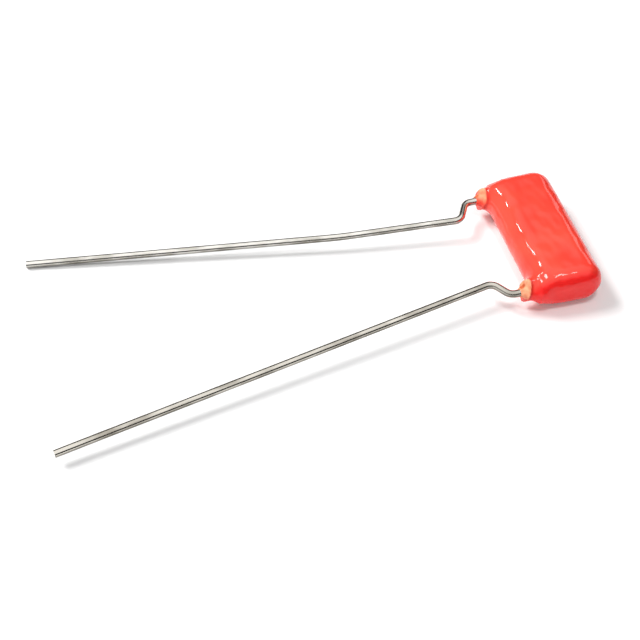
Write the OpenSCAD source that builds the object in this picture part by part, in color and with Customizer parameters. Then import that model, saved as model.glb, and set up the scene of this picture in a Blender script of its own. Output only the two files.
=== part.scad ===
// Dipped polyester film capacitor with two kinked wire leads, lying on its broad face.
// Millimetres, +Z up. The origin is the centre of the coat's flat underside.
// X runs across the body, with the leads towards -X. Y runs along the film roll, with the near end at -Y.

/* [Film roll] */
// Height of the pressed film roll, from its lead side to its far side
roll_height = 4.9; // [3.6:0.1:12]
// Thickness of the pressed film roll
roll_thickness = 2.5; // [1.6:0.1:3.4]
// Thickness of the sprayed metal on each end of the roll
spray_thickness = 0.45; // [0.2:0.05:1]
// Depth that each lead is pressed into the sprayed metal
lead_sink = 0.1; // [0.05:0.05:0.15]
// Length of each lead beyond the middle of the roll, along the sprayed end
lead_weld_reach = 1.3; // [0.4:0.1:1.8]

/* [Coat] */
// Thickness of the dipped coat over the roll
coat_wall = 0.45; // [0.25:0.05:1]
// Thickness of the coat beyond each lead, at the ends of the body
end_cover = 0.85; // [0.4:0.05:1.6]
// Rounding radius of the coat at the ends of the body
end_rounding = 1.3; // [0.5:0.05:1.4]
// Length of the collar that the coat draws out along each lead
collar_length = 0.75; // [0.4:0.05:1.5]
// Width of each collar across its lens-shaped section
collar_width = 1.4; // [0.9:0.05:1.6]
// Height of each collar across the tips of its lens-shaped section
collar_height = 2.3; // [1.6:0.05:2.4]
// Distance from the round shoulder of each collar to the end of the body
shoulder_inset = 0.05; // [0.05:0.05:0.3]
// Angle to the lead at which a collar's round shoulder flares out of the body's side
shoulder_flare_angle = 40; // [25:1:44]
// Radius of the chip in each collar's trimmed end
chip_radius = 0.22; // [0.1:0.01:0.25]

/* [Leads] */
// Diameter of the tinned wire
wire_d = 0.6; // [0.5:0.05:0.8]
// Distance between the middle lines of the leads at the body
lead_pitch = 10.7; // [7.5:0.1:22.5]
// Straight length of each lead from the collar's end to the corner of its kink
stem_length = 1.0; // [0.8:0.05:3]
// Length of the kink along the lead
kink_length = 1.0; // [0.6:0.05:2]
// Distance that the near lead's kink steps inwards
near_kink_inset = 1.5; // [1.3:0.05:3]
// Distance that the far lead's kink steps inwards
far_kink_inset = 1.8; // [1.3:0.05:3]
// Radius of the kink's bends, at the wire's middle line
kink_bend_r = 0.8; // [0.5:0.05:0.9]

/* [Near lead run] */
// Length of the near lead beyond its kink, seen from above
near_run = 36; // [10:0.5:60]
// Angle that the near lead splays outwards
near_splay_angle = 10.9; // [0:0.1:20]
// Gap under the near lead's tip
near_tip_gap = 0.7; // [0:0.05:2]

/* [Far lead run] */
// Length of the far lead from its kink to its bow, seen from above
far_first_run = 10; // [5:0.5:30]
// Angle that the far lead splays outwards before its bow
far_first_splay_angle = 6.8; // [0:0.1:20]
// Gap under the far lead at its bow
far_bow_gap = 0.9; // [0.3:0.05:2]
// Bending radius of the far lead's bow
far_bow_r = 40; // [10:1:80]
// Length of the far lead from its bow to its tip, which lies on the surface, seen from above
far_second_run = 25.5; // [8:0.5:60]
// Angle that the far lead splays outwards after its bow
far_second_splay_angle = 10.2; // [0:0.1:20]

/* [Hidden] */
$fn = 64;

NEAR = -1;
FAR = 1;
wire_r = wire_d / 2;
// A bent wire draws in by a thirtieth of its radius, and its bend seats a sixth of it inside each straight leg.
bend_draw = wire_r / 30;
bend_reach = wire_r / 6;

// The coat follows the roll and the leads that it covers.
body_height = roll_height + 2 * coat_wall;
body_thickness = roll_thickness + 2 * coat_wall;
body_length = lead_pitch + wire_d + 2 * end_cover;
body_side_r = body_thickness / 2;
spine_x = (body_height - body_thickness) / 2;
mid_z = body_thickness / 2;
least_round_core = 0.05;
coat_end_r = min(end_rounding, body_side_r - least_round_core);

// The leads lie on the sprayed ends, which close the roll.
lead_y = lead_pitch / 2;
spray_outer_y = lead_y - wire_r + lead_sink;
spray_inner_y = spray_outer_y - spray_thickness;

// Each collar is a lens in section, which stands clear of the coat's broad faces.
collar_end_x = -body_height / 2 - collar_length;
least_collar_inset = 0.2;
lens_tip = min(collar_height / 2, body_side_r - least_collar_inset);
lens_r = (pow(lens_tip, 2) + pow(collar_width / 2, 2)) / collar_width;
lens_shift = lens_r - collar_width / 2;
flare_steps = 8;
flare_seat = wire_r / 6;

// A round shoulder around each lead fills the corner between the collar and the body's end.
shoulder_r = min(body_length / 2 - lead_y, lens_tip) - shoulder_inset;
shoulder_reach = min(collar_length - wire_r / 3, shoulder_r);
chip_y = collar_width / 2 - 1.5 * chip_radius;
chip_z = wire_r + 0.6 * chip_radius;

// Corners of the leads' middle lines.
kink_x = collar_end_x - stem_length;
near_corners = [
    [lead_weld_reach, -lead_y, mid_z],
    [kink_x, -lead_y, mid_z],
    [kink_x - kink_length, near_kink_inset - lead_y, mid_z],
    run_end([kink_x - kink_length, near_kink_inset - lead_y], near_run, near_splay_angle, NEAR, near_tip_gap)
];
far_bow = run_end(
    [kink_x - kink_length, lead_y - far_kink_inset], far_first_run, far_first_splay_angle, FAR, far_bow_gap
);
far_corners = [
    [lead_weld_reach, lead_y, mid_z],
    [kink_x, lead_y, mid_z],
    [kink_x - kink_length, lead_y - far_kink_inset, mid_z],
    far_bow,
    run_end(far_bow, far_second_run, far_second_splay_angle, FAR, 0)
];
near_bend_radii = [0, kink_bend_r, kink_bend_r, 0];
far_bend_radii = [0, kink_bend_r, kink_bend_r, far_bow_r, 0];

// End of a straight run that starts at a plan point, splays to one side and keeps a gap under its wire.
function run_end(from, run, splay, side, gap) =
    [from.x - run * cos(splay), from.y + side * run * sin(splay), gap + wire_r];

function unit(v) = v / norm(v);
function leg(corners, i) = unit(corners[i + 1] - corners[i]);
function turn(corners, i) = acos(leg(corners, i - 1) * leg(corners, i));
function is_corner(corners, i) = i > 0 && i < len(corners) - 1;

// Length of a straight leg that the bend at a corner takes up.
function setback(corners, radii, i) = is_corner(corners, i) ? radii[i] * tan(turn(corners, i) / 2) : 0;

// Puts its child at an origin, with the child's axes along three given directions.
module in_frame(origin, x_dir, y_dir, z_dir) {
    multmatrix([
        [x_dir.x, y_dir.x, z_dir.x, origin.x],
        [x_dir.y, y_dir.y, z_dir.y, origin.y],
        [x_dir.z, y_dir.z, z_dir.z, origin.z],
        [0, 0, 0, 1]
    ]) children();
}

// Straight round wire between two points.
module straight_wire(from, to) {
    along = unit(to - from);
    across = unit(cross([0, 0, 1], along));
    in_frame(from, across, cross(along, across), along) cylinder(h = norm(to - from), r = wire_r);
}

// Bend of a round wire that arrives at a point along one direction and turns towards another.
// It is drawn in a little, and reaches a short way into the straight legs on both sides.
module wire_bend(from, arrive, leave, radius, angle) {
    inward = unit(leave - (leave * arrive) * arrive);
    reach = bend_reach / radius * 180 / PI;
    in_frame(from + radius * inward, -inward, arrive, cross(arrive, inward))
        rotate([0, 0, -reach]) rotate_extrude(angle = angle + 2 * reach)
            translate([radius, 0]) circle(wire_r - bend_draw);
}

// Round wire along a row of corners, with a bend at each corner between its straight legs.
module bent_wire(corners, radii) {
    for (i = [0 : len(corners) - 2])
        straight_wire(
            corners[i] + setback(corners, radii, i) * leg(corners, i),
            corners[i + 1] - setback(corners, radii, i + 1) * leg(corners, i)
        );
    for (i = [1 : len(corners) - 2])
        wire_bend(
            corners[i] - setback(corners, radii, i) * leg(corners, i - 1),
            leg(corners, i - 1),
            leg(corners, i),
            radii[i],
            turn(corners, i)
        );
}

// Rectangle with round corners, centred on the origin.
module rounded_rectangle(width, height, corner_r) {
    square([width - 2 * corner_r, height], center = true);
    square([width, height - 2 * corner_r], center = true);
    for (x = [-1, 1], y = [-1, 1])
        translate([x * (width / 2 - corner_r), y * (height / 2 - corner_r)]) circle(corner_r);
}

// Half of the coat's lengthwise section, on one side of the spine.
module half_section() {
    intersection() {
        rounded_rectangle(body_thickness, body_length, coat_end_r);
        translate([0, -body_length / 2]) square([body_side_r, body_length]);
    }
}

// Outside of the coat: two half-round long sides, and a flat middle between their spines.
module coat_body() {
    for (side = [0, 180])
        translate([0, 0, mid_z]) rotate([0, 0, side]) translate([spine_x, 0, 0])
            rotate([-90, -90, 0]) rotate_extrude(angle = 180) half_section();
    translate([-spine_x, 0, mid_z]) rotate([90, 0, 90])
        linear_extrude(2 * spine_x) rounded_rectangle(body_length, body_thickness, coat_end_r);
}

// How far the half-round side of the body lies behind its crown, at a height above the lead.
function side_depth(height) = body_side_r - sqrt(pow(body_side_r, 2) - pow(height, 2));

// Outline of a collar's round shoulder, from its axis outwards.
// Its flare is a hollow arc, which starts just inside the body at an angle and ends along the lead.
module shoulder_profile() {
    start = -side_depth(shoulder_r) - flare_seat;
    arc_r = (shoulder_reach - start) / sin(shoulder_flare_angle);
    polygon(concat(
        [[0, -body_side_r], [shoulder_r, -body_side_r]],
        [for (i = [0 : flare_steps])
            let (at = shoulder_flare_angle * (1 - i / flare_steps))
            [shoulder_r - arc_r * (cos(at) - cos(shoulder_flare_angle)), shoulder_reach - arc_r * sin(at)]],
        [[0, shoulder_reach]]
    ));
}

// Section of a collar: a lens that stands on its point, made by two crossing circles.
module collar_lens() {
    intersection() {
        translate([-lens_shift, 0]) circle(lens_r);
        translate([lens_shift, 0]) circle(lens_r);
    }
}

// Collar drawn out along one lead from a round shoulder, trimmed flat, with a chip beside the wire.
module collar(side) {
    translate([-body_height / 2, side * lead_y, mid_z]) difference() {
        union() {
            translate([-collar_length, 0, 0]) rotate([90, 0, 90])
                linear_extrude(collar_length + body_side_r) collar_lens();
            rotate([0, -90, 0]) rotate_extrude() shoulder_profile();
        }
        translate([-collar_length, chip_y, chip_z]) sphere(chip_radius);
    }
}

// Section of the pressed roll: flat faces and half-round sides.
module roll_section() {
    square([roll_height - roll_thickness, roll_thickness], center = true);
    for (side = [-1, 1])
        translate([side * (roll_height - roll_thickness) / 2, 0]) circle(roll_thickness / 2);
}

// Slice of the roll's outline between two places along the body.
module roll_slice(from_y, to_y) {
    translate([0, to_y, mid_z]) rotate([90, 0, 0]) linear_extrude(to_y - from_y) roll_section();
}

// Straight inner end of one lead, as far as the end of its collar and a little beyond.
module lead_seat(side) {
    straight_wire([lead_weld_reach, side * lead_y, mid_z], [kink_x, side * lead_y, mid_z]);
}

module epoxy_coat() {
    color("orangered") difference() {
        union() {
            coat_body();
            collar(NEAR);
            collar(FAR);
        }
        roll_slice(-spray_outer_y, spray_outer_y);
        lead_seat(NEAR);
        lead_seat(FAR);
    }
}

module film_roll() {
    color("gainsboro") roll_slice(-spray_inner_y, spray_inner_y);
}

// Sprayed metal on one end of the roll, with the groove that its lead is pressed into.
module end_spray(side) {
    color("darkgray") difference() {
        roll_slice(
            side == NEAR ? -spray_outer_y : spray_inner_y,
            side == NEAR ? -spray_inner_y : spray_outer_y
        );
        lead_seat(side);
    }
}

module lead_near() {
    color("silver") bent_wire(near_corners, near_bend_radii);
}

module lead_far() {
    color("silver") bent_wire(far_corners, far_bend_radii);
}

epoxy_coat();
film_roll();
end_spray(NEAR);  // end_spray_near
end_spray(FAR);  // end_spray_far
lead_near();
lead_far();
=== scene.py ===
"""Looks of a dipped polyester film capacitor: its coat, its two leads and the studio around them."""

import logging
import math
from dataclasses import dataclass
from enum import Enum
from typing import ClassVar

import bpy
from mathutils import Matrix, Vector


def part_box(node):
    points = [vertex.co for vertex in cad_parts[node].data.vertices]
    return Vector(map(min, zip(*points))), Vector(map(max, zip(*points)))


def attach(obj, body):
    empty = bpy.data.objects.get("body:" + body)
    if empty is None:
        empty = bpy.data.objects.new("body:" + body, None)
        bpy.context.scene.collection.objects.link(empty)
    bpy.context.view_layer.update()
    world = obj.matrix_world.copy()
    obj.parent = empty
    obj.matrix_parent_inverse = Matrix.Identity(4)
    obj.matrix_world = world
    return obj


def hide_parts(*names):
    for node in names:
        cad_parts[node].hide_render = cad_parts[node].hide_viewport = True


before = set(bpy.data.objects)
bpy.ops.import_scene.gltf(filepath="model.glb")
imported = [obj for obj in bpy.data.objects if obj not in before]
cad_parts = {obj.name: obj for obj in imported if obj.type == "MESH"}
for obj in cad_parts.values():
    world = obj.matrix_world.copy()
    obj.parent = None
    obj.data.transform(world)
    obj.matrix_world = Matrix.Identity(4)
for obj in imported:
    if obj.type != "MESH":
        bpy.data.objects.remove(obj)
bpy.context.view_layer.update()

LOG = logging.getLogger("film_capacitor")
MM = 0.001
BODY = "root"
WHITE = "#FFFFFF"

# Sockets of a Mix node that blends colours
SHARE, FIRST, SECOND = 0, 6, 7
BLEND = 2

# Length of one band of a Wave texture at a scale of 1
WAVE_LENGTH = 0.314

Point = tuple[float, float, float]
Span = tuple[float, float]
Tree = bpy.types.NodeTree
Node = bpy.types.Node
Socket = bpy.types.NodeSocket


class Mark(Enum):
    """Names of the attributes that the meshes carry for their materials."""

    TRIM = "trim"
    CHIP = "chip"
    CREASE = "painted_edge_shade"
    BEND = "bend"
    ALONG = "along"
    AROUND = "around"
    UNDER = "under"


class LampUse(Enum):
    """What a lamp does: light the scene unseen, glint in the coat alone, or light and show in all."""

    LIGHT = "light"
    GLINT = "glint"
    BOTH = "both"


class Lead(Enum):
    """The two leads, by the CAD node that each one stands for."""

    NEAR = "lead_near"
    FAR = "lead_far"


def linear(colour: str) -> tuple[float, float, float, float]:
    """Turns an sRGB hex colour into the linear colour that Blender's sockets hold.

    Args:
        colour: The colour as "#RRGGBB".

    Returns:
        Linear red, green and blue, and full opacity.
    """
    shares = [int(colour[i:i + 2], 16) / 255 for i in (1, 3, 5)]
    red, green, blue = [s / 12.92 if s <= 0.04045 else ((s + 0.055) / 1.055) ** 2.4 for s in shares]
    return red, green, blue, 1.0


def add_node(tree: Tree, kind: str, inputs: dict | None = None, **settings: object) -> Node:
    """Adds one node with its settings and links.

    Args:
        tree: The node tree to add to.
        kind: Blender's name for the kind of node.
        inputs: A Field or socket to link from, or a plain value, for each input by its name or number.
        **settings: The node's own properties.

    Returns:
        The new node.
    """
    node = tree.nodes.new(kind)
    for name, value in settings.items():
        setattr(node, name, value)
    for key, value in (inputs or {}).items():
        source = value.socket if isinstance(value, Field) else value
        if isinstance(source, Socket):
            tree.links.new(source, node.inputs[key])
        else:
            node.inputs[key].default_value = source
    return node


@dataclass(frozen=True)
class Field:
    """A number in a node tree that sums can be written with. Each step of a sum is a Math node."""

    tree: Tree
    socket: Socket

    def math(self, operation: str, *others: "Field | float") -> "Field":
        """Joins this number with others in one Math node.

        Args:
            operation: The Math node's operation.
            *others: The node's second and third numbers.

        Returns:
            The node's result.
        """
        inputs = dict(enumerate((self, *others)))
        node = add_node(self.tree, "ShaderNodeMath", inputs, operation=operation)
        return Field(self.tree, node.outputs[0])

    def __add__(self, other: "Field | float") -> "Field":
        """This number and another."""
        return self.math("ADD", other)

    def __sub__(self, other: "Field | float") -> "Field":
        """This number less another."""
        return self.math("SUBTRACT", other)

    def __mul__(self, other: "Field | float") -> "Field":
        """This number times another."""
        return self.math("MULTIPLY", other)

    def __truediv__(self, other: "Field | float") -> "Field":
        """This number over another."""
        return self.math("DIVIDE", other)

    def __neg__(self) -> "Field":
        """This number with its sign turned."""
        return self.math("MULTIPLY", -1.0)

    def __abs__(self) -> "Field":
        """This number without its sign."""
        return self.math("ABSOLUTE")

    def at_least(self, other: "Field | float") -> "Field":
        """The larger of this number and another."""
        return self.math("MAXIMUM", other)

    def at_most(self, other: "Field | float") -> "Field":
        """The smaller of this number and another."""
        return self.math("MINIMUM", other)

    def root(self) -> "Field":
        """The square root of this number."""
        return self.math("SQRT")

    def span(self, *others: "Field") -> "Field":
        """Finds the length of the vector that this number and others make.

        Args:
            *others: The vector's other numbers.

        Returns:
            The length.
        """
        total = self * self
        for other in others:
            total = total + other * other
        return total.root()

    def ramp(self, start: float, end: float, low: float = 0.0, high: float = 1.0) -> "Field":
        """Eases from one value to another as this number goes from start to end.

        Args:
            start: Where the ease begins.
            end: Where it ends.
            low: The value before start.
            high: The value after end.

        Returns:
            The eased value.
        """
        inputs = {"Value": self, "From Min": start, "From Max": end, "To Min": low, "To Max": high}
        node = add_node(self.tree, "ShaderNodeMapRange", inputs, interpolation_type="SMOOTHSTEP")
        return Field(self.tree, node.outputs["Result"])


def fields_of(node: Node) -> list[Field]:
    """A node's outputs as numbers, in their order."""
    return [Field(node.id_data, output) for output in node.outputs]


def new_tree(name: str, sizes: dict[str, float]) -> tuple[Tree, dict[str, Field], Node]:
    """Starts a Geometry Nodes tree with a geometry input and output and one named input for each size.

    Args:
        name: The tree's name.
        sizes: The named sizes and their values.

    Returns:
        The tree, its sizes as fields, and its input node.
    """
    tree = bpy.data.node_groups.new(name, "GeometryNodeTree")
    tree.interface.new_socket("Geometry", in_out="OUTPUT", socket_type="NodeSocketGeometry")
    tree.interface.new_socket("Geometry", in_out="INPUT", socket_type="NodeSocketGeometry")
    for size, value in sizes.items():
        socket = tree.interface.new_socket(size, in_out="INPUT", socket_type="NodeSocketFloat")
        socket.default_value = value
    entry = add_node(tree, "NodeGroupInput")
    return tree, {size: Field(tree, entry.outputs[size]) for size in sizes}, entry


def close_tree(tree: Tree, geometry: Socket, material: bpy.types.Material) -> None:
    """Ends a tree: millimetres become metres, instances become real, and the material goes on.

    Args:
        tree: The tree to end.
        geometry: The finished geometry, in millimetres.
        material: The piece's material.
    """
    metres = add_node(tree, "GeometryNodeTransform", {"Geometry": geometry, "Scale": (MM, MM, MM)})
    real = add_node(tree, "GeometryNodeRealizeInstances", {"Geometry": metres.outputs[0]})
    inputs = {"Geometry": real.outputs[0], "Material": material}
    dressed = add_node(tree, "GeometryNodeSetMaterial", inputs)
    add_node(tree, "NodeGroupOutput", {0: dressed.outputs[0]})


def grow(name: str, seed: bpy.types.Mesh, tree: Tree, sizes: dict[str, float]) -> bpy.types.Object:
    """Runs a tree on a seed mesh and keeps the result as a plain mesh.

    Args:
        name: The piece's name.
        seed: The mesh that the tree starts from.
        tree: The Geometry Nodes tree.
        sizes: The values of the tree's named inputs.

    Returns:
        The finished piece at the origin, with no modifier.
    """
    piece = bpy.data.objects.new(name, seed)
    bpy.context.scene.collection.objects.link(piece)
    modifier = piece.modifiers.new(name, "NODES")
    modifier.node_group = tree
    for item in tree.interface.items_tree:
        if item.in_out == "INPUT" and item.name in sizes:
            modifier[item.identifier] = sizes[item.name]
    depsgraph = bpy.context.evaluated_depsgraph_get()
    mesh = bpy.data.meshes.new_from_object(piece.evaluated_get(depsgraph), depsgraph=depsgraph)
    mesh.name = name
    piece.modifiers.remove(modifier)
    piece.data = mesh
    bpy.data.meshes.remove(seed)
    return piece


def new_material(name: str) -> tuple[bpy.types.Material, Tree, Node]:
    """Starts a node material.

    Args:
        name: What the material really is.

    Returns:
        The material, its node tree and its Principled shader.
    """
    material = bpy.data.materials.new(name)
    material.use_nodes = True
    return material, material.node_tree, material.node_tree.nodes["Principled BSDF"]


@dataclass(frozen=True)
class DippedEpoxy:
    """Pigmented epoxy, dipped and cured: glossy, with a faint orange peel, pale and matt where it is trimmed.

    The peel is drawn longer along the body, as the coat ran down while it was wet.
    """

    body: str = "#FC4F3E"
    deep: str = "#F84437"
    # Painted shade: the coat's ends, which face away from the light, in a deeper red
    painted_end_shade: str = "#FA2A28"
    trim: str = "#F9A880"
    trim_dark: str = "#EE8C66"
    # Painted shade in each chip's hollow
    painted_chip_shade: str = "#C8683F"
    # Painted shade: a dark line along the edge of each broken face
    painted_edge_shade: str = "#B31D16"
    painted_edge_shade_share: float = 0.6
    peel_mm: float = 0.7
    peel_draw: float = 0.5
    peel_detail: float = 0.0
    peel_span: Span = (0.3, 0.7)
    grain_mm: float = 0.35
    cloud_mm: float = 4.0
    patch_span: Span = (0.35, 0.65)
    # Where the painted shade on the ends begins and ends, measured from the middle of the body
    end_shade_from_mm: float = 5.65
    end_shade_to_mm: float = 6.2
    gloss: float = 0.07
    gloss_change: float = 0.2
    matt: float = 0.6
    ior: float = 1.5
    specular: float = 0.3
    bump: float = 0.4
    bump_mm: float = 0.15

    def material(self) -> bpy.types.Material:
        """Builds the finish. The eye sees deep, even colour under a wet-looking skin with soft highlights.

        Returns:
            The material.
        """
        material, tree, shader = new_material("dipped_epoxy")
        place = add_node(tree, "ShaderNodeTexCoord").outputs["Object"]
        trim, chip, painted_edge_shade = [
            Field(tree, add_node(tree, "ShaderNodeAttribute", attribute_name=mark.value).outputs["Fac"])
            for mark in (Mark.TRIM, Mark.CHIP, Mark.CREASE)
        ]
        noises = [
            add_node(tree, "ShaderNodeTexNoise", {"Vector": place, "Scale": 1 / (size * MM)})
            for size in (self.cloud_mm, self.grain_mm)
        ]
        clouds, grains = [Field(tree, noise.outputs["Fac"]).ramp(*self.patch_span) for noise in noises]
        drawn = add_node(tree, "ShaderNodeMapping", {"Vector": place, "Scale": (1.0, self.peel_draw, 1.0)})
        scale = 1 / (self.peel_mm * MM)
        peel_at = {"Vector": drawn.outputs[0], "Scale": scale, "Detail": self.peel_detail}
        peel = Field(tree, add_node(tree, "ShaderNodeTexNoise", peel_at).outputs["Fac"])
        _, along, _ = fields_of(add_node(tree, "ShaderNodeSeparateXYZ", {0: place}))
        # Painted shade on both ends, set by the distance along the body
        end_shade = abs(along).ramp(self.end_shade_from_mm * MM, self.end_shade_to_mm * MM)

        pale = {SHARE: grains, FIRST: linear(self.trim), SECOND: linear(self.trim_dark)}
        layers = [
            (clouds, linear(self.deep)),
            # Painted shade on the ends
            (end_shade, linear(self.painted_end_shade)),
            # Painted shade along the edge of each broken face
            (painted_edge_shade * self.painted_edge_shade_share, linear(self.painted_edge_shade)),
            (trim, add_node(tree, "ShaderNodeMix", pale, data_type="RGBA").outputs[BLEND]),
            # Painted shade in the chip's hollow
            (chip, linear(self.painted_chip_shade)),
        ]
        colour = linear(self.body)
        for share, layer in layers:
            inputs = {SHARE: share, FIRST: colour, SECOND: layer}
            colour = add_node(tree, "ShaderNodeMix", inputs, data_type="RGBA").outputs[BLEND]
        tree.links.new(colour, shader.inputs["Base Color"])

        shader.inputs["IOR"].default_value = self.ior
        shader.inputs["Specular IOR Level"].default_value = self.specular
        least, most = self.gloss * (1 - self.gloss_change), self.gloss * (1 + self.gloss_change)
        rough = peel.ramp(*self.peel_span, least, most) + trim.at_least(chip) * (self.matt - self.gloss)
        tree.links.new(rough.socket, shader.inputs["Roughness"])
        relief = {"Height": peel, "Strength": self.bump, "Distance": self.bump_mm * MM}
        tree.links.new(add_node(tree, "ShaderNodeBump", relief).outputs[0], shader.inputs["Normal"])
        return material


@dataclass(frozen=True)
class TinnedWire:
    """Drawn steel wire with a thin tin plate: a soft grey mirror with fine lines, and painted shade on its
    underside.
    """

    name: str = "tinned_wire"
    bright: str = "#F0EDE6"
    dull: str = "#C8C4BA"
    painted_underside_shade: str = "#4A463C"
    line_mm: float = 0.12
    patch_mm: float = 2.5
    patch_span: Span = (0.35, 0.7)
    under_span: Span = (-0.5, -0.1)
    underside_shade_least: float = 0.6
    underside_shade_patches: float = 0.3
    gloss: float = 0.15
    patch_dullness: float = 0.12
    bump: float = 0.05
    bump_mm: float = 0.02

    def material(self) -> bpy.types.Material:
        """Builds the finish. The eye sees long light and dark bands down the wire, slightly smeared along it.

        Returns:
            The material.
        """
        material, tree, shader = new_material(self.name)
        along, under = [
            Field(tree, add_node(tree, "ShaderNodeAttribute", attribute_name=mark.value).outputs["Fac"])
            for mark in (Mark.ALONG, Mark.UNDER)
        ]
        around = add_node(tree, "ShaderNodeAttribute", attribute_name=Mark.AROUND.value)
        east, north, _ = fields_of(add_node(tree, "ShaderNodeSeparateXYZ", {0: around.outputs["Vector"]}))
        lines_at = {"X": east / self.line_mm, "Y": north / self.line_mm, "Z": along / self.patch_mm}
        patch_at = {"X": east, "Y": north, "Z": along / self.patch_mm}
        line, patch = [
            add_node(tree, "ShaderNodeCombineXYZ", place).outputs[0] for place in (lines_at, patch_at)
        ]
        noises = [
            add_node(tree, "ShaderNodeTexNoise", {"Vector": place, "Scale": 1.0})
            for place in (line, patch)
        ]
        lines, patches = [Field(tree, noise.outputs["Fac"]) for noise in noises]
        patches = patches.ramp(*self.patch_span)
        # Painted shade: downward faces darkened for the wire's own shadow mirrored in its underside, stronger
        # in patches
        underside_shade_share = under.ramp(*self.under_span) * (patches * self.underside_shade_patches + self.underside_shade_least)

        colour = linear(self.bright)
        for share, layer in [(patches, linear(self.dull)), (underside_shade_share, linear(self.painted_underside_shade))]:
            inputs = {SHARE: share, FIRST: colour, SECOND: layer}
            colour = add_node(tree, "ShaderNodeMix", inputs, data_type="RGBA").outputs[BLEND]
        tree.links.new(colour, shader.inputs["Base Color"])

        shader.inputs["Metallic"].default_value = 1.0
        rough = patches * self.patch_dullness + self.gloss
        tree.links.new(rough.socket, shader.inputs["Roughness"])
        relief = {"Height": lines, "Strength": self.bump, "Distance": self.bump_mm * MM}
        tree.links.new(add_node(tree, "ShaderNodeBump", relief).outputs[0], shader.inputs["Normal"])
        return material


@dataclass(frozen=True)
class WoundFilm:
    """Metallised polyester film, wound and pressed: silvery grey turns seen through clear film.

    A turn is about 0.01 mm thick. It is drawn ten times as coarse, so that it shows.
    """

    light: str = "#B9BEC2"
    dark: str = "#7E858B"
    turn_mm: float = 0.1
    waviness: float = 1.5
    metal: float = 0.7
    gloss: Span = (0.22, 0.4)
    bump: float = 0.3
    bump_mm: float = 0.02

    def material(self) -> bpy.types.Material:
        """Builds the finish. The eye sees fine, slightly wavy lines in a satin metal.

        Returns:
            The material.
        """
        material, tree, shader = new_material("metallised_polyester_film")
        place = add_node(tree, "ShaderNodeTexCoord").outputs["Object"]
        scale = WAVE_LENGTH / (self.turn_mm * MM)
        inputs = {"Vector": place, "Scale": scale, "Distortion": self.waviness}
        turns = add_node(tree, "ShaderNodeTexWave", inputs, bands_direction="Z")
        share = Field(tree, turns.outputs["Fac"])
        inputs = {SHARE: share, FIRST: linear(self.dark), SECOND: linear(self.light)}
        colour = add_node(tree, "ShaderNodeMix", inputs, data_type="RGBA").outputs[BLEND]
        tree.links.new(colour, shader.inputs["Base Color"])
        shader.inputs["Metallic"].default_value = self.metal
        tree.links.new(share.ramp(0.0, 1.0, *self.gloss).socket, shader.inputs["Roughness"])
        relief = {"Height": share, "Strength": self.bump, "Distance": self.bump_mm * MM}
        tree.links.new(add_node(tree, "ShaderNodeBump", relief).outputs[0], shader.inputs["Normal"])
        return material


@dataclass(frozen=True)
class SprayedZinc:
    """Zinc and tin sprayed hot onto the roll's ends: a dull grey, sandy crust of frozen drops."""

    light: str = "#A7A8A6"
    dark: str = "#6F716F"
    drop_mm: float = 0.15
    drop_span: Span = (0.1, 0.8)
    gloss: Span = (0.5, 0.75)
    bump: float = 0.8
    bump_mm: float = 0.08

    def material(self) -> bpy.types.Material:
        """Builds the finish. The eye sees a rough metal grain without a clear highlight.

        Returns:
            The material.
        """
        material, tree, shader = new_material("sprayed_zinc")
        place = add_node(tree, "ShaderNodeTexCoord").outputs["Object"]
        inputs = {"Vector": place, "Scale": 1 / (self.drop_mm * MM)}
        share = Field(tree, add_node(tree, "ShaderNodeTexVoronoi", inputs).outputs["Distance"])
        drops = share.ramp(*self.drop_span)
        inputs = {SHARE: drops, FIRST: linear(self.light), SECOND: linear(self.dark)}
        colour = add_node(tree, "ShaderNodeMix", inputs, data_type="RGBA").outputs[BLEND]
        tree.links.new(colour, shader.inputs["Base Color"])
        shader.inputs["Metallic"].default_value = 1.0
        rough = share.ramp(0.0, self.drop_span[1], *self.gloss)
        tree.links.new(rough.socket, shader.inputs["Roughness"])
        relief = {"Height": share, "Strength": self.bump, "Distance": self.bump_mm * MM}
        tree.links.new(add_node(tree, "ShaderNodeBump", relief).outputs[0], shader.inputs["Normal"])
        return material


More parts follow.
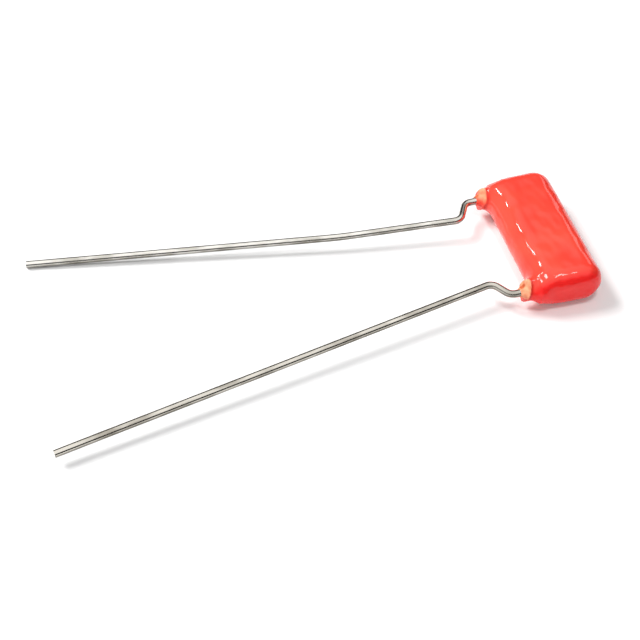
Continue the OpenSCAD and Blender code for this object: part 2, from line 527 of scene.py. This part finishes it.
@dataclass
class DippedCoat:
    """The epoxy coat: a pressed oval with half-round sides, drawn out into a broken collar at each lead.

    Sizes are in millimetres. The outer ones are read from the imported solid. The collars', shoulders' and
    chips' sizes repeat its named values, and the rest are fine forms of the skin alone.
    """

    body_height: float
    body_length: float
    body_thickness: float
    collar_length: float
    end_rounding: float = 1.3
    lead_pitch: float = 10.7
    collar_width: float = 1.4
    collar_height: float = 2.3
    shoulder_radius: float = 1.1
    shoulder_end: float = 0.7
    shoulder_run: float = 1.1
    shoulder_reach: float = 0.65
    chip_radius: float = 0.22
    chip_side: float = 0.27
    chip_rise: float = 0.432
    wire_radius: float = 0.3

    # The broken face of each collar: where it lies, how it leans, and how it climbs along the wire
    lens_shift: float = 0.1
    break_back: float = 0.075
    far_short: float = 0.16
    slant: float = 0.15
    slant_end: float = 0.3
    lean: float = 0.35
    climb: float = 0.4
    climb_reach: float = 0.65

    # How deep each collar's swell fades out in the body, and how softly the forms join
    root_from: float = 0.8
    root_to: float = 3.4
    root_depth: float = 2.4
    joint_blend: float = 1.0
    shoulder_blend: float = 0.2
    face_blend: float = 0.1
    break_blend: float = 0.08
    chip_blend: float = 0.05

    # The ends' arch towards the leads, and the skin's ripple
    end_arch: float = 0.052
    arch_start: float = 0.2
    ripple: float = 0.09
    ripple_length: float = 1.9
    ripple_detail: float = 1.0
    ripple_span: Span = (0.3, 1.4)

    # Where the marks for the finish begin and end
    trim_edge: Span = (-0.1, -0.03)
    trim_rise: Span = (-0.5, 0.1)
    far_trim_rise: float = 0.6
    painted_edge_shade_start: Span = (-0.3, -0.16)
    painted_edge_shade_end: Span = (0.04, 0.12)
    chip_edge: Span = (0.1, 0.0)

    mesh_step: float = 0.07

    NODE: ClassVar[str] = "epoxy_coat"
    MARKS: ClassVar[tuple[Mark, ...]] = (Mark.TRIM, Mark.CHIP, Mark.CREASE)
    MARGIN_STEPS: ClassVar[int] = 5
    PASSES: ClassVar[int] = 2
    SLOPE_STEP: ClassVar[float] = 0.01
    NOISE_MIDDLE: ClassVar[float] = 0.5

    @classmethod
    def from_frame(cls) -> "DippedCoat":
        """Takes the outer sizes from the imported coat.

        Returns:
            The coat.
        """
        low, high = (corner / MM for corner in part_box(cls.NODE))
        height = 2 * high.x
        return cls(height, high.y - low.y, high.z - low.z, -low.x - high.x)

    def sizes(self) -> dict[str, float]:
        """Lists the named inputs of the coat's tree.

        Returns:
            The sizes in millimetres, by name.
        """
        return {
            "Body height": self.body_height,
            "Body length": self.body_length,
            "Body thickness": self.body_thickness,
            "Collar length": self.collar_length,
            "End rounding": self.end_rounding,
            "Lead pitch": self.lead_pitch,
            "Collar width": self.collar_width,
            "Collar height": self.collar_height,
            "Shoulder radius": self.shoulder_radius,
            "Shoulder end": self.shoulder_end,
            "Shoulder run": self.shoulder_run,
            "Shoulder reach": self.shoulder_reach,
            "Chip radius": self.chip_radius,
            "Ripple": self.ripple,
        }

    def rule(self) -> Tree:
        """Builds the rule of the coat's form: how far a point is outside its skin, below zero within it.

        Returns:
            A node group with a point and the sizes as inputs, and the distance and the marks as outputs.
        """
        tree = bpy.data.node_groups.new("coat_rule", "GeometryNodeTree")
        tree.interface.new_socket("Point", in_out="INPUT", socket_type="NodeSocketVector")
        for size in self.sizes():
            tree.interface.new_socket(size, in_out="INPUT", socket_type="NodeSocketFloat")
        for name in ("Distance", *(mark.value for mark in self.MARKS)):
            tree.interface.new_socket(name, in_out="OUTPUT", socket_type="NodeSocketFloat")
        entry = add_node(tree, "NodeGroupInput")
        of = {size: Field(tree, entry.outputs[size]) for size in self.sizes()}
        point = entry.outputs["Point"]
        x, y, height = fields_of(add_node(tree, "ShaderNodeSeparateXYZ", {0: point}))
        half = of["Body thickness"] / 2.0
        z = height - half

        # The oval: a bar with half-round sides and rounded ends, which draw in a little towards the leads
        rounding = of["End rounding"]
        spine = of["Body height"] / 2.0 - half
        side = (abs(x) - spine).at_least(0.0).span(z) - (half - rounding)
        inward = (-x + self.arch_start).at_least(0.0)
        end = abs(y) - (of["Body length"] / 2.0 - rounding) + inward * inward * self.end_arch
        outside = side.at_least(0.0).span(end.at_least(0.0))
        oval = outside + side.at_least(end).at_most(0.0) - rounding

        # The collars: a lens-shaped stalk, whose broken face leans back and climbs along the wire
        out = -x - of["Body height"] / 2.0
        across = abs(y) - of["Lead pitch"] / 2.0
        which = y.math("SIGN")
        far = (which + 1.0) / 2.0
        beside = y - which * (of["Lead pitch"] / 2.0)
        lens_half = of["Collar width"] / 2.0
        lens_tall = of["Collar height"] / 2.0
        lens_radius = (lens_tall * lens_tall + lens_half * lens_half) / (lens_half * 2.0)
        lens = (abs(beside - self.lens_shift) + (lens_radius - lens_half)).span(z) - lens_radius
        slant = beside.at_least(-lens_half).at_most(self.slant_end) * self.slant
        lean = z.at_least(0.0) * self.lean
        climb = beside.span(z).ramp(self.climb_reach, self.wire_radius, 0.0, self.climb)
        back = far * self.far_short + self.break_back
        cut = out - of["Collar length"] + back - slant + lean - climb
        root = (-out).ramp(self.root_from, self.root_to, 0.0, self.root_depth)
        stalk = lens + root

        # The round shoulder under each collar, which flares out of the oval in a hollow arc
        run = of["Shoulder run"]
        drop = of["Shoulder radius"] - of["Shoulder end"]
        arc = (drop * drop + run * run) / (drop * 2.0)
        rest = (of["Shoulder reach"] - out).at_least(0.0).at_most(run)
        neck = of["Shoulder end"] + arc - (arc * arc - rest * rest).root()
        flare = across.span(z) - neck + root
        drawn = stalk.math("SMOOTH_MIN", flare, self.shoulder_blend)
        collar = drawn.math("SMOOTH_MAX", cut, self.break_blend)
        swollen = oval.math("SMOOTH_MIN", collar, self.joint_blend)
        joined = swollen.math("SMOOTH_MAX", abs(z) - half, self.face_blend)

        # The chip beside each wire, on the same side of both
        chip_at = (out - of["Collar length"]).span(beside - self.chip_side, z - self.chip_rise)
        hollow = chip_at - of["Chip radius"]
        chipped = joined.math("SMOOTH_MAX", -hollow, self.chip_blend)

        # The skin's slow ripple, which leaves the flat underside alone
        wave_at = {"Vector": point, "Scale": 1 / self.ripple_length, "Detail": self.ripple_detail}
        wave = Field(tree, add_node(tree, "ShaderNodeTexNoise", wave_at).outputs["Fac"])
        skin = chipped + (wave - self.NOISE_MIDDLE) * of["Ripple"] * height.ramp(*self.ripple_span)

        # The marks: the pale broken face, the chip in it, and the painted shade along its edge
        rise = z - far * self.far_trim_rise
        trim = cut.ramp(*self.trim_edge) * rise.ramp(*self.trim_rise)
        chip = hollow.ramp(*self.chip_edge)
        # Painted shade: a dark band on the coat just behind the edge of the broken face
        painted_edge_shade = cut.ramp(*self.painted_edge_shade_start) * (-cut).ramp(*self.painted_edge_shade_end)
        add_node(tree, "NodeGroupOutput", dict(enumerate((skin, trim, chip, painted_edge_shade))))
        return tree

    def build(self, finish: DippedEpoxy) -> bpy.types.Object:
        """Meshes the rule: a block of cells is cut along the skin, and each point is then drawn onto it.

        Args:
            finish: The coat's finish.

        Returns:
            The finished coat.
        """
        sizes = self.sizes()
        tree, of, _ = new_tree("dipped_coat", sizes)
        rule = self.rule()
        place = add_node(tree, "GeometryNodeInputPosition").outputs[0]

        def read_rule(shift: Point) -> Node:
            """Reads the rule at the current point, moved by a small shift."""
            moved = add_node(tree, "ShaderNodeVectorMath", {0: place, 1: shift}, operation="ADD")
            return add_node(tree, "GeometryNodeGroup", {"Point": moved.outputs[0], **of}, node_tree=rule)

        centre = read_rule((0.0, 0.0, 0.0))
        here = Field(tree, centre.outputs["Distance"])
        margin = Vector((self.MARGIN_STEPS * self.mesh_step,) * 3)
        low = Vector((-self.body_height / 2 - self.collar_length, -self.body_length / 2, 0.0)) - margin
        high = Vector((self.body_height / 2, self.body_length / 2, self.body_thickness)) + margin
        cells = [int((b - a) / self.mesh_step) for a, b in zip(low, high)]
        block = {"Density": -here, "Background": -1.0, "Min": low, "Max": high}
        block |= {f"Resolution {axis}": count for axis, count in zip("XYZ", cells)}
        volume = add_node(tree, "GeometryNodeVolumeCube", block)
        inputs = {"Volume": volume.outputs[0], "Threshold": 0.0}
        geometry = add_node(tree, "GeometryNodeVolumeToMesh", inputs).outputs[0]

        step = self.SLOPE_STEP
        shifts = [(step, 0.0, 0.0), (0.0, step, 0.0), (0.0, 0.0, step)]
        slopes = [(Field(tree, read_rule(shift).outputs["Distance"]) - here) / step for shift in shifts]
        steepness = slopes[0] * slopes[0] + slopes[1] * slopes[1] + slopes[2] * slopes[2]
        steps = {axis: -(here * slope / steepness) for axis, slope in zip("XYZ", slopes)}
        offset = add_node(tree, "ShaderNodeCombineXYZ", steps).outputs[0]
        for _ in range(self.PASSES):
            drawn = add_node(tree, "GeometryNodeSetPosition", {"Geometry": geometry, "Offset": offset})
            geometry = drawn.outputs[0]
        for mark in self.MARKS:
            inputs = {"Geometry": geometry, "Name": mark.value, "Value": centre.outputs[mark.value]}
            geometry = add_node(tree, "GeometryNodeStoreNamedAttribute", inputs).outputs[0]
        smooth = add_node(tree, "GeometryNodeSetShadeSmooth", {"Geometry": geometry})
        close_tree(tree, smooth.outputs[0], finish.material())
        return self.dress(grow("coat_skin", bpy.data.meshes.new("coat_seed"), tree, sizes))

    def dress(self, coat: bpy.types.Object) -> bpy.types.Object:
        """Ties the coat to the frame in place of its solid.

        Args:
            coat: The meshed coat.

        Returns:
            The same coat.
        """
        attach(coat, BODY)
        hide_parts(self.NODE)
        return coat


@dataclass(frozen=True)
class Run:
    """A straight stretch of a lead beyond its kink, in millimetres and degrees.

    It has a length and an outward splay, both seen from above, a gap under its end, and the radius of the
    bow that leads to the next stretch.
    """

    length: float
    splay: float
    gap: float
    bow: float = 0.0


@dataclass(frozen=True)
class WireLead:
    """One lead: round wire along straight stretches and bends, from its weld to its cut tip.

    Sizes are in millimetres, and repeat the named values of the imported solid. The side is -1 for the lead at
    the near end and 1 for the far one.
    """

    lead: Lead
    side: int
    kink_inset: float
    runs: tuple[Run, ...]
    weld_reach: float = 1.3
    pitch: float = 10.7
    height: float = 1.7
    kink_start: float = 4.65
    kink_length: float = 1.0
    kink_bend: float = 0.8
    diameter: float = 0.6
    step: float = 0.12
    bend_steps: int = 24
    sides: int = 40

    MOST_WALL_CORNERS: ClassVar[int] = 4

    def corners(self) -> list[Point]:
        """Works out the corners of the wire's middle line, from its weld to its tip.

        Returns:
            The corners.
        """
        outer = self.side * self.pitch / 2
        inner = outer - self.side * self.kink_inset
        corners = [
            (self.weld_reach, outer, self.height),
            (-self.kink_start, outer, self.height),
            (-self.kink_start - self.kink_length, inner, self.height),
        ]
        for run in self.runs:
            x, y, _ = corners[-1]
            along = run.length * math.cos(math.radians(run.splay))
            aside = run.length * math.sin(math.radians(run.splay))
            corners.append((x - along, y + self.side * aside, run.gap + self.diameter / 2))
        return corners

    def bends(self) -> list[float]:
        """The bending radius at each corner, with none at the two ends."""
        return [0.0, self.kink_bend, self.kink_bend, *(run.bow for run in self.runs)]

    def seed(self) -> bpy.types.Mesh:
        """Makes the route: a chain of edges through the corners, with each corner's bend on it.

        Returns:
            The route as a mesh.
        """
        corners = self.corners()
        mesh = bpy.data.meshes.new(self.lead.value + "_route")
        mesh.from_pydata(corners, [(i, i + 1) for i in range(len(corners) - 1)], [])
        bend = mesh.attributes.new(Mark.BEND.value, "FLOAT", "POINT")
        bend.data.foreach_set("value", self.bends())
        return mesh

    def build(self, finish: TinnedWire) -> bpy.types.Object:
        """Sweeps the wire along its route.

        Args:
            finish: The wire's finish.

        Returns:
            The finished lead.
        """
        sizes = {"Wire diameter": self.diameter, "Step": self.step}
        tree, of, entry = new_tree(self.lead.value + "_sweep", sizes)
        route = add_node(tree, "GeometryNodeMeshToCurve", {"Mesh": entry.outputs["Geometry"]})
        inputs = {"Name": Mark.BEND.value}
        bend = add_node(tree, "GeometryNodeInputNamedAttribute", inputs, data_type="FLOAT")
        inputs = {"Curve": route.outputs[0], "Count": self.bend_steps, "Radius": bend.outputs[0]}
        rounded = add_node(tree, "GeometryNodeFilletCurve", inputs, mode="POLY")
        inputs = {"Curve": rounded.outputs[0], "Length": of["Step"]}
        even = add_node(tree, "GeometryNodeResampleCurve", inputs, mode="LENGTH")
        length = add_node(tree, "GeometryNodeSplineParameter").outputs["Length"]
        inputs = {"Geometry": even.outputs[0], "Name": Mark.ALONG.value, "Value": length}
        marked = add_node(tree, "GeometryNodeStoreNamedAttribute", inputs)

        # The ring, whose points remember their place around the wire
        inputs = {"Resolution": self.sides, "Radius": of["Wire diameter"] / 2.0}
        ring = add_node(tree, "GeometryNodeCurvePrimitiveCircle", inputs)
        spot = add_node(tree, "GeometryNodeInputPosition").outputs[0]
        inputs = {"Geometry": ring.outputs[0], "Name": Mark.AROUND.value, "Value": spot}
        rim = add_node(tree, "GeometryNodeStoreNamedAttribute", inputs, data_type="FLOAT_VECTOR")
        inputs = {"Curve": marked.outputs[0], "Profile Curve": rim.outputs[0], "Fill Caps": True}
        swept = add_node(tree, "GeometryNodeCurveToMesh", inputs)

        # The wall is shaded smooth and the cut ends flat
        count = add_node(tree, "GeometryNodeInputMeshFaceNeighbors").outputs["Vertex Count"]
        inputs = {2: count, 3: self.MOST_WALL_CORNERS}
        wall = add_node(tree, "FunctionNodeCompare", inputs, data_type="INT", operation="LESS_EQUAL")
        inputs = {"Geometry": swept.outputs[0], "Shade Smooth": wall.outputs[0]}
        smooth = add_node(tree, "GeometryNodeSetShadeSmooth", inputs)
        # The downward facing is kept for the painted shade on the underside
        facing = add_node(tree, "GeometryNodeInputNormal").outputs[0]
        _, _, up = fields_of(add_node(tree, "ShaderNodeSeparateXYZ", {0: facing}))
        inputs = {"Geometry": smooth.outputs[0], "Name": Mark.UNDER.value, "Value": -up}
        shaded = add_node(tree, "GeometryNodeStoreNamedAttribute", inputs)
        close_tree(tree, shaded.outputs[0], finish.material())
        return self.dress(grow(self.lead.value + "_wire", self.seed(), tree, sizes))

    def dress(self, wire: bpy.types.Object) -> bpy.types.Object:
        """Ties the lead to the frame in place of its solid.

        Args:
            wire: The swept wire.

        Returns:
            The same wire.
        """
        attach(wire, BODY)
        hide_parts(self.lead.value)
        return wire


@dataclass
class FilmRoll:
    """The roll and its two sprayed ends, sealed in the coat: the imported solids, with their real finishes."""

    roll: str = "film_roll"
    ends: tuple[str, ...] = ("end_spray_near", "end_spray_far")

    def dress(self) -> None:
        """Gives the hidden solids their finishes."""
        film = WoundFilm().material()
        zinc = SprayedZinc().material()
        for name, finish in [(self.roll, film), *[(end, zinc) for end in self.ends]]:
            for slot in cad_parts[name].material_slots:
                slot.material = finish


@dataclass
class PhotoCamera:
    """The camera at the photograph's place. Angles are in degrees, the location and lens in millimetres."""

    azimuth: float = -15.24
    elevation: float = 48.51
    location: Point = (-37.205, -68.387, 77.184)
    lens: float = 74.06
    sensor: float = 36.0
    nearest: float = 5.0

    def build(self) -> bpy.types.Object:
        """Makes the camera and gives it to the scene.

        Returns:
            The camera.
        """
        turn, tilt = math.radians(self.azimuth), math.radians(self.elevation)
        right = Vector((math.cos(turn), math.sin(turn), 0.0))
        level = Vector((math.sin(turn), -math.cos(turn), 0.0))
        back = level * math.cos(tilt) + Vector((0.0, 0.0, math.sin(tilt)))
        up = back.cross(right)
        data = bpy.data.cameras.new("photo_camera")
        data.lens = self.lens
        data.sensor_width = self.sensor
        data.clip_start = self.nearest * MM
        camera = bpy.data.objects.new("photo_camera", data)
        turned = Matrix((right, up, back)).transposed().to_4x4()
        camera.matrix_world = Matrix.Translation(Vector(self.location) * MM) @ turned
        bpy.context.scene.collection.objects.link(camera)
        bpy.context.scene.camera = camera
        return camera


@dataclass(frozen=True)
class SoftLamp:
    """One soft lamp that faces the object: an oval, wide by tall. Sizes are in metres, power in watts."""

    name: str
    towards: Point
    wide: float
    tall: float
    power: float
    use: LampUse = LampUse.BOTH
    distance: float = 0.5

    def build(self, glossy: bpy.types.Collection) -> bpy.types.Object:
        """Hangs the lamp.

        Args:
            glossy: The pieces that a glint shows in.

        Returns:
            The lamp.
        """
        data = bpy.data.lights.new(self.name, "AREA")
        data.shape = "ELLIPSE"
        data.size = self.wide
        data.size_y = self.tall
        data.energy = self.power
        lamp = bpy.data.objects.new(self.name, data)
        lamp.visible_glossy = self.use is not LampUse.LIGHT
        if self.use is LampUse.GLINT:
            lamp.visible_diffuse = False
            lamp.light_linking.receiver_collection = glossy
        way = Vector(self.towards).normalized()
        turned = way.to_track_quat("Z", "Y").to_matrix().to_4x4()
        lamp.matrix_world = Matrix.Translation(way * self.distance) @ turned
        bpy.context.scene.collection.objects.link(lamp)
        return lamp


@dataclass
class Studio:
    """The pale floor, the soft lamps and the room that gloss and metal mirror. Sizes are in metres.

    The room's values are strengths of white. Its edges are heights on a ball of directions, from 0 to 1.
    """

    floor_radius: float = 6.0
    floor_sides: int = 96
    floor_colour: str = "#F2F2F2"
    floor_matt: float = 0.9
    floor_lift: float = 0.08
    white_from: float = 0.1
    white_to: float = 0.3
    horizon: float = 0.02
    ceiling: float = 0.44
    ceiling_edge: Span = (0.58, 0.76)
    mirrored_ceiling: float = 1.2
    mirrored_wall: float = 0.35
    wall_edge: Span = (0.3, 0.7)
    front: Span = (-0.48, -0.88)
    front_lean: float = -0.06
    lamps: tuple[SoftLamp, ...] = (
        SoftLamp("key_lamp", (-0.545, 0.434, 0.717), 0.24, 0.24, 2.4, LampUse.LIGHT),
        SoftLamp("ridge_lamp", (-0.41, 0.585, 0.7), 0.05, 0.05, 0.3),
        SoftLamp("top_fill", (0.0, -0.2, 0.94), 0.1, 0.1, 0.72, LampUse.LIGHT),
        SoftLamp("end_lamp", (0.2, -0.3, 0.933), 0.18, 0.038, 0.48, LampUse.GLINT),
        SoftLamp("corner_lamp", (-0.33, -0.05, 0.95), 0.14, 0.14, 1.5, LampUse.GLINT),
        SoftLamp("rim_lamp", (0.69, 0.62, 0.37), 0.14, 0.14, 0.1),
        SoftLamp("front_fill", (-0.3, -0.85, 0.45), 0.3, 0.2, 0.45, LampUse.LIGHT),
    )

    def paper(self) -> bpy.types.Material:
        """Builds the floor's finish: matt white card, lifted to white for the eye, with its shadows kept.

        Returns:
            The material.
        """
        material, tree, shader = new_material("white_card")
        path = add_node(tree, "ShaderNodeLightPath")
        seen = Field(tree, path.outputs["Is Camera Ray"])
        for ray in ("Is Glossy Ray", "Is Transmission Ray"):
            seen = seen.at_least(Field(tree, path.outputs[ray]))
        shader.inputs["Base Color"].default_value = linear(self.floor_colour)
        shader.inputs["Roughness"].default_value = self.floor_matt
        shader.inputs["Specular IOR Level"].default_value = 0.0
        shader.inputs["Emission Color"].default_value = linear(WHITE)
        place = add_node(tree, "ShaderNodeTexCoord").outputs["Object"]
        x, y, _ = fields_of(add_node(tree, "ShaderNodeSeparateXYZ", {0: place}))
        lift = x.span(y).ramp(self.white_from, self.white_to, self.floor_lift, 1.0)
        tree.links.new((seen * lift).socket, shader.inputs["Emission Strength"])
        return material

    def floor(self) -> bpy.types.Object:
        """Lays the floor.

        Returns:
            The floor.
        """
        turns = [2 * math.pi * i / self.floor_sides for i in range(self.floor_sides)]
        rim = [(self.floor_radius * math.cos(a), self.floor_radius * math.sin(a), 0.0) for a in turns]
        mesh = bpy.data.meshes.new("card_floor")
        mesh.from_pydata(rim, [], [tuple(range(self.floor_sides))])
        mesh.materials.append(self.paper())
        floor = bpy.data.objects.new("card_floor", mesh)
        bpy.context.scene.collection.objects.link(floor)
        return floor

    def room(self) -> None:
        """Paints the room: dim walls, a light ceiling, one light wall for mirrors, and white for the eye."""
        world = bpy.data.worlds.new("studio_room")
        world.use_nodes = True
        tree = world.node_tree
        way = add_node(tree, "ShaderNodeTexCoord").outputs["Generated"]
        x, y, z = fields_of(add_node(tree, "ShaderNodeSeparateXYZ", {0: way}))
        front = x * self.front[0] + y * self.front[1]
        lit = (z - front * self.front_lean).ramp(*self.ceiling_edge)
        path = add_node(tree, "ShaderNodeLightPath")
        rays = ("Is Glossy Ray", "Is Camera Ray", "Is Transmission Ray")
        mirrored, camera, through = [Field(tree, path.outputs[ray]) for ray in rays]
        top = mirrored * (self.mirrored_ceiling - self.ceiling) + self.ceiling
        wall = mirrored * (-x).ramp(*self.wall_edge) * self.mirrored_wall + self.horizon
        strength = (lit * top).at_least(wall).at_least(camera.at_least(through))
        shade = tree.nodes["Background"]
        tree.links.new(strength.socket, shade.inputs["Strength"])
        shade.inputs["Color"].default_value = linear(WHITE)
        bpy.context.scene.world = world

    def build(self, coat: bpy.types.Object) -> None:
        """Sets up the floor, the room, the lamps and the view transform.

        Args:
            coat: The piece that the glints show in.
        """
        self.floor()
        self.room()
        glossy = bpy.data.collections.new("glossy_pieces")
        glossy.objects.link(coat)
        for lamp in self.lamps:
            lamp.build(glossy)
        bpy.context.scene.view_settings.view_transform = "Standard"


@dataclass
class FilmCapacitor:
    """The whole part: coat, leads and the sealed roll. The near lead's wire is a darker copy of the same
    finish: painted shade for its dimmer reflections.
    """

    leads: tuple[tuple[WireLead, TinnedWire], ...] = (
        (
            WireLead(Lead.NEAR, -1, 1.5, (Run(36.0, 10.9, 0.7),)),
            # Painted shade: the same wire finish in darker colours
            TinnedWire("tinned_wire_painted_darker", bright="#DCD7CD", dull="#ACA69B"),
        ),
        (
            WireLead(Lead.FAR, 1, 1.8, (Run(10.0, 6.8, 0.9, bow=40.0), Run(25.5, 10.2, 0.0))),
            TinnedWire(),
        ),
    )

    def build(self) -> bpy.types.Object:
        """Builds and reports each piece in order.

        Returns:
            The coat.
        """
        coat = DippedCoat.from_frame().build(DippedEpoxy())
        report(coat)
        for lead, finish in self.leads:
            report(lead.build(finish))
        FilmRoll().dress()
        return coat


def report(piece: bpy.types.Object) -> None:
    """Logs a piece's size and box.

    Args:
        piece: The finished piece.
    """
    box = [Vector(corner) / MM for corner in piece.bound_box]
    low = [round(min(c[i] for c in box), 3) for i in range(3)]
    high = [round(max(c[i] for c in box), 3) for i in range(3)]
    LOG.info("%s: %d faces, %s to %s mm", piece.name, len(piece.data.polygons), low, high)


def main() -> None:
    """Builds the part and its studio in order."""
    logging.basicConfig(level=logging.INFO, format="%(name)s: %(message)s")
    PhotoCamera().build()
    coat = FilmCapacitor().build()
    Studio().build(coat)


if __name__ == "__main__":
    main()
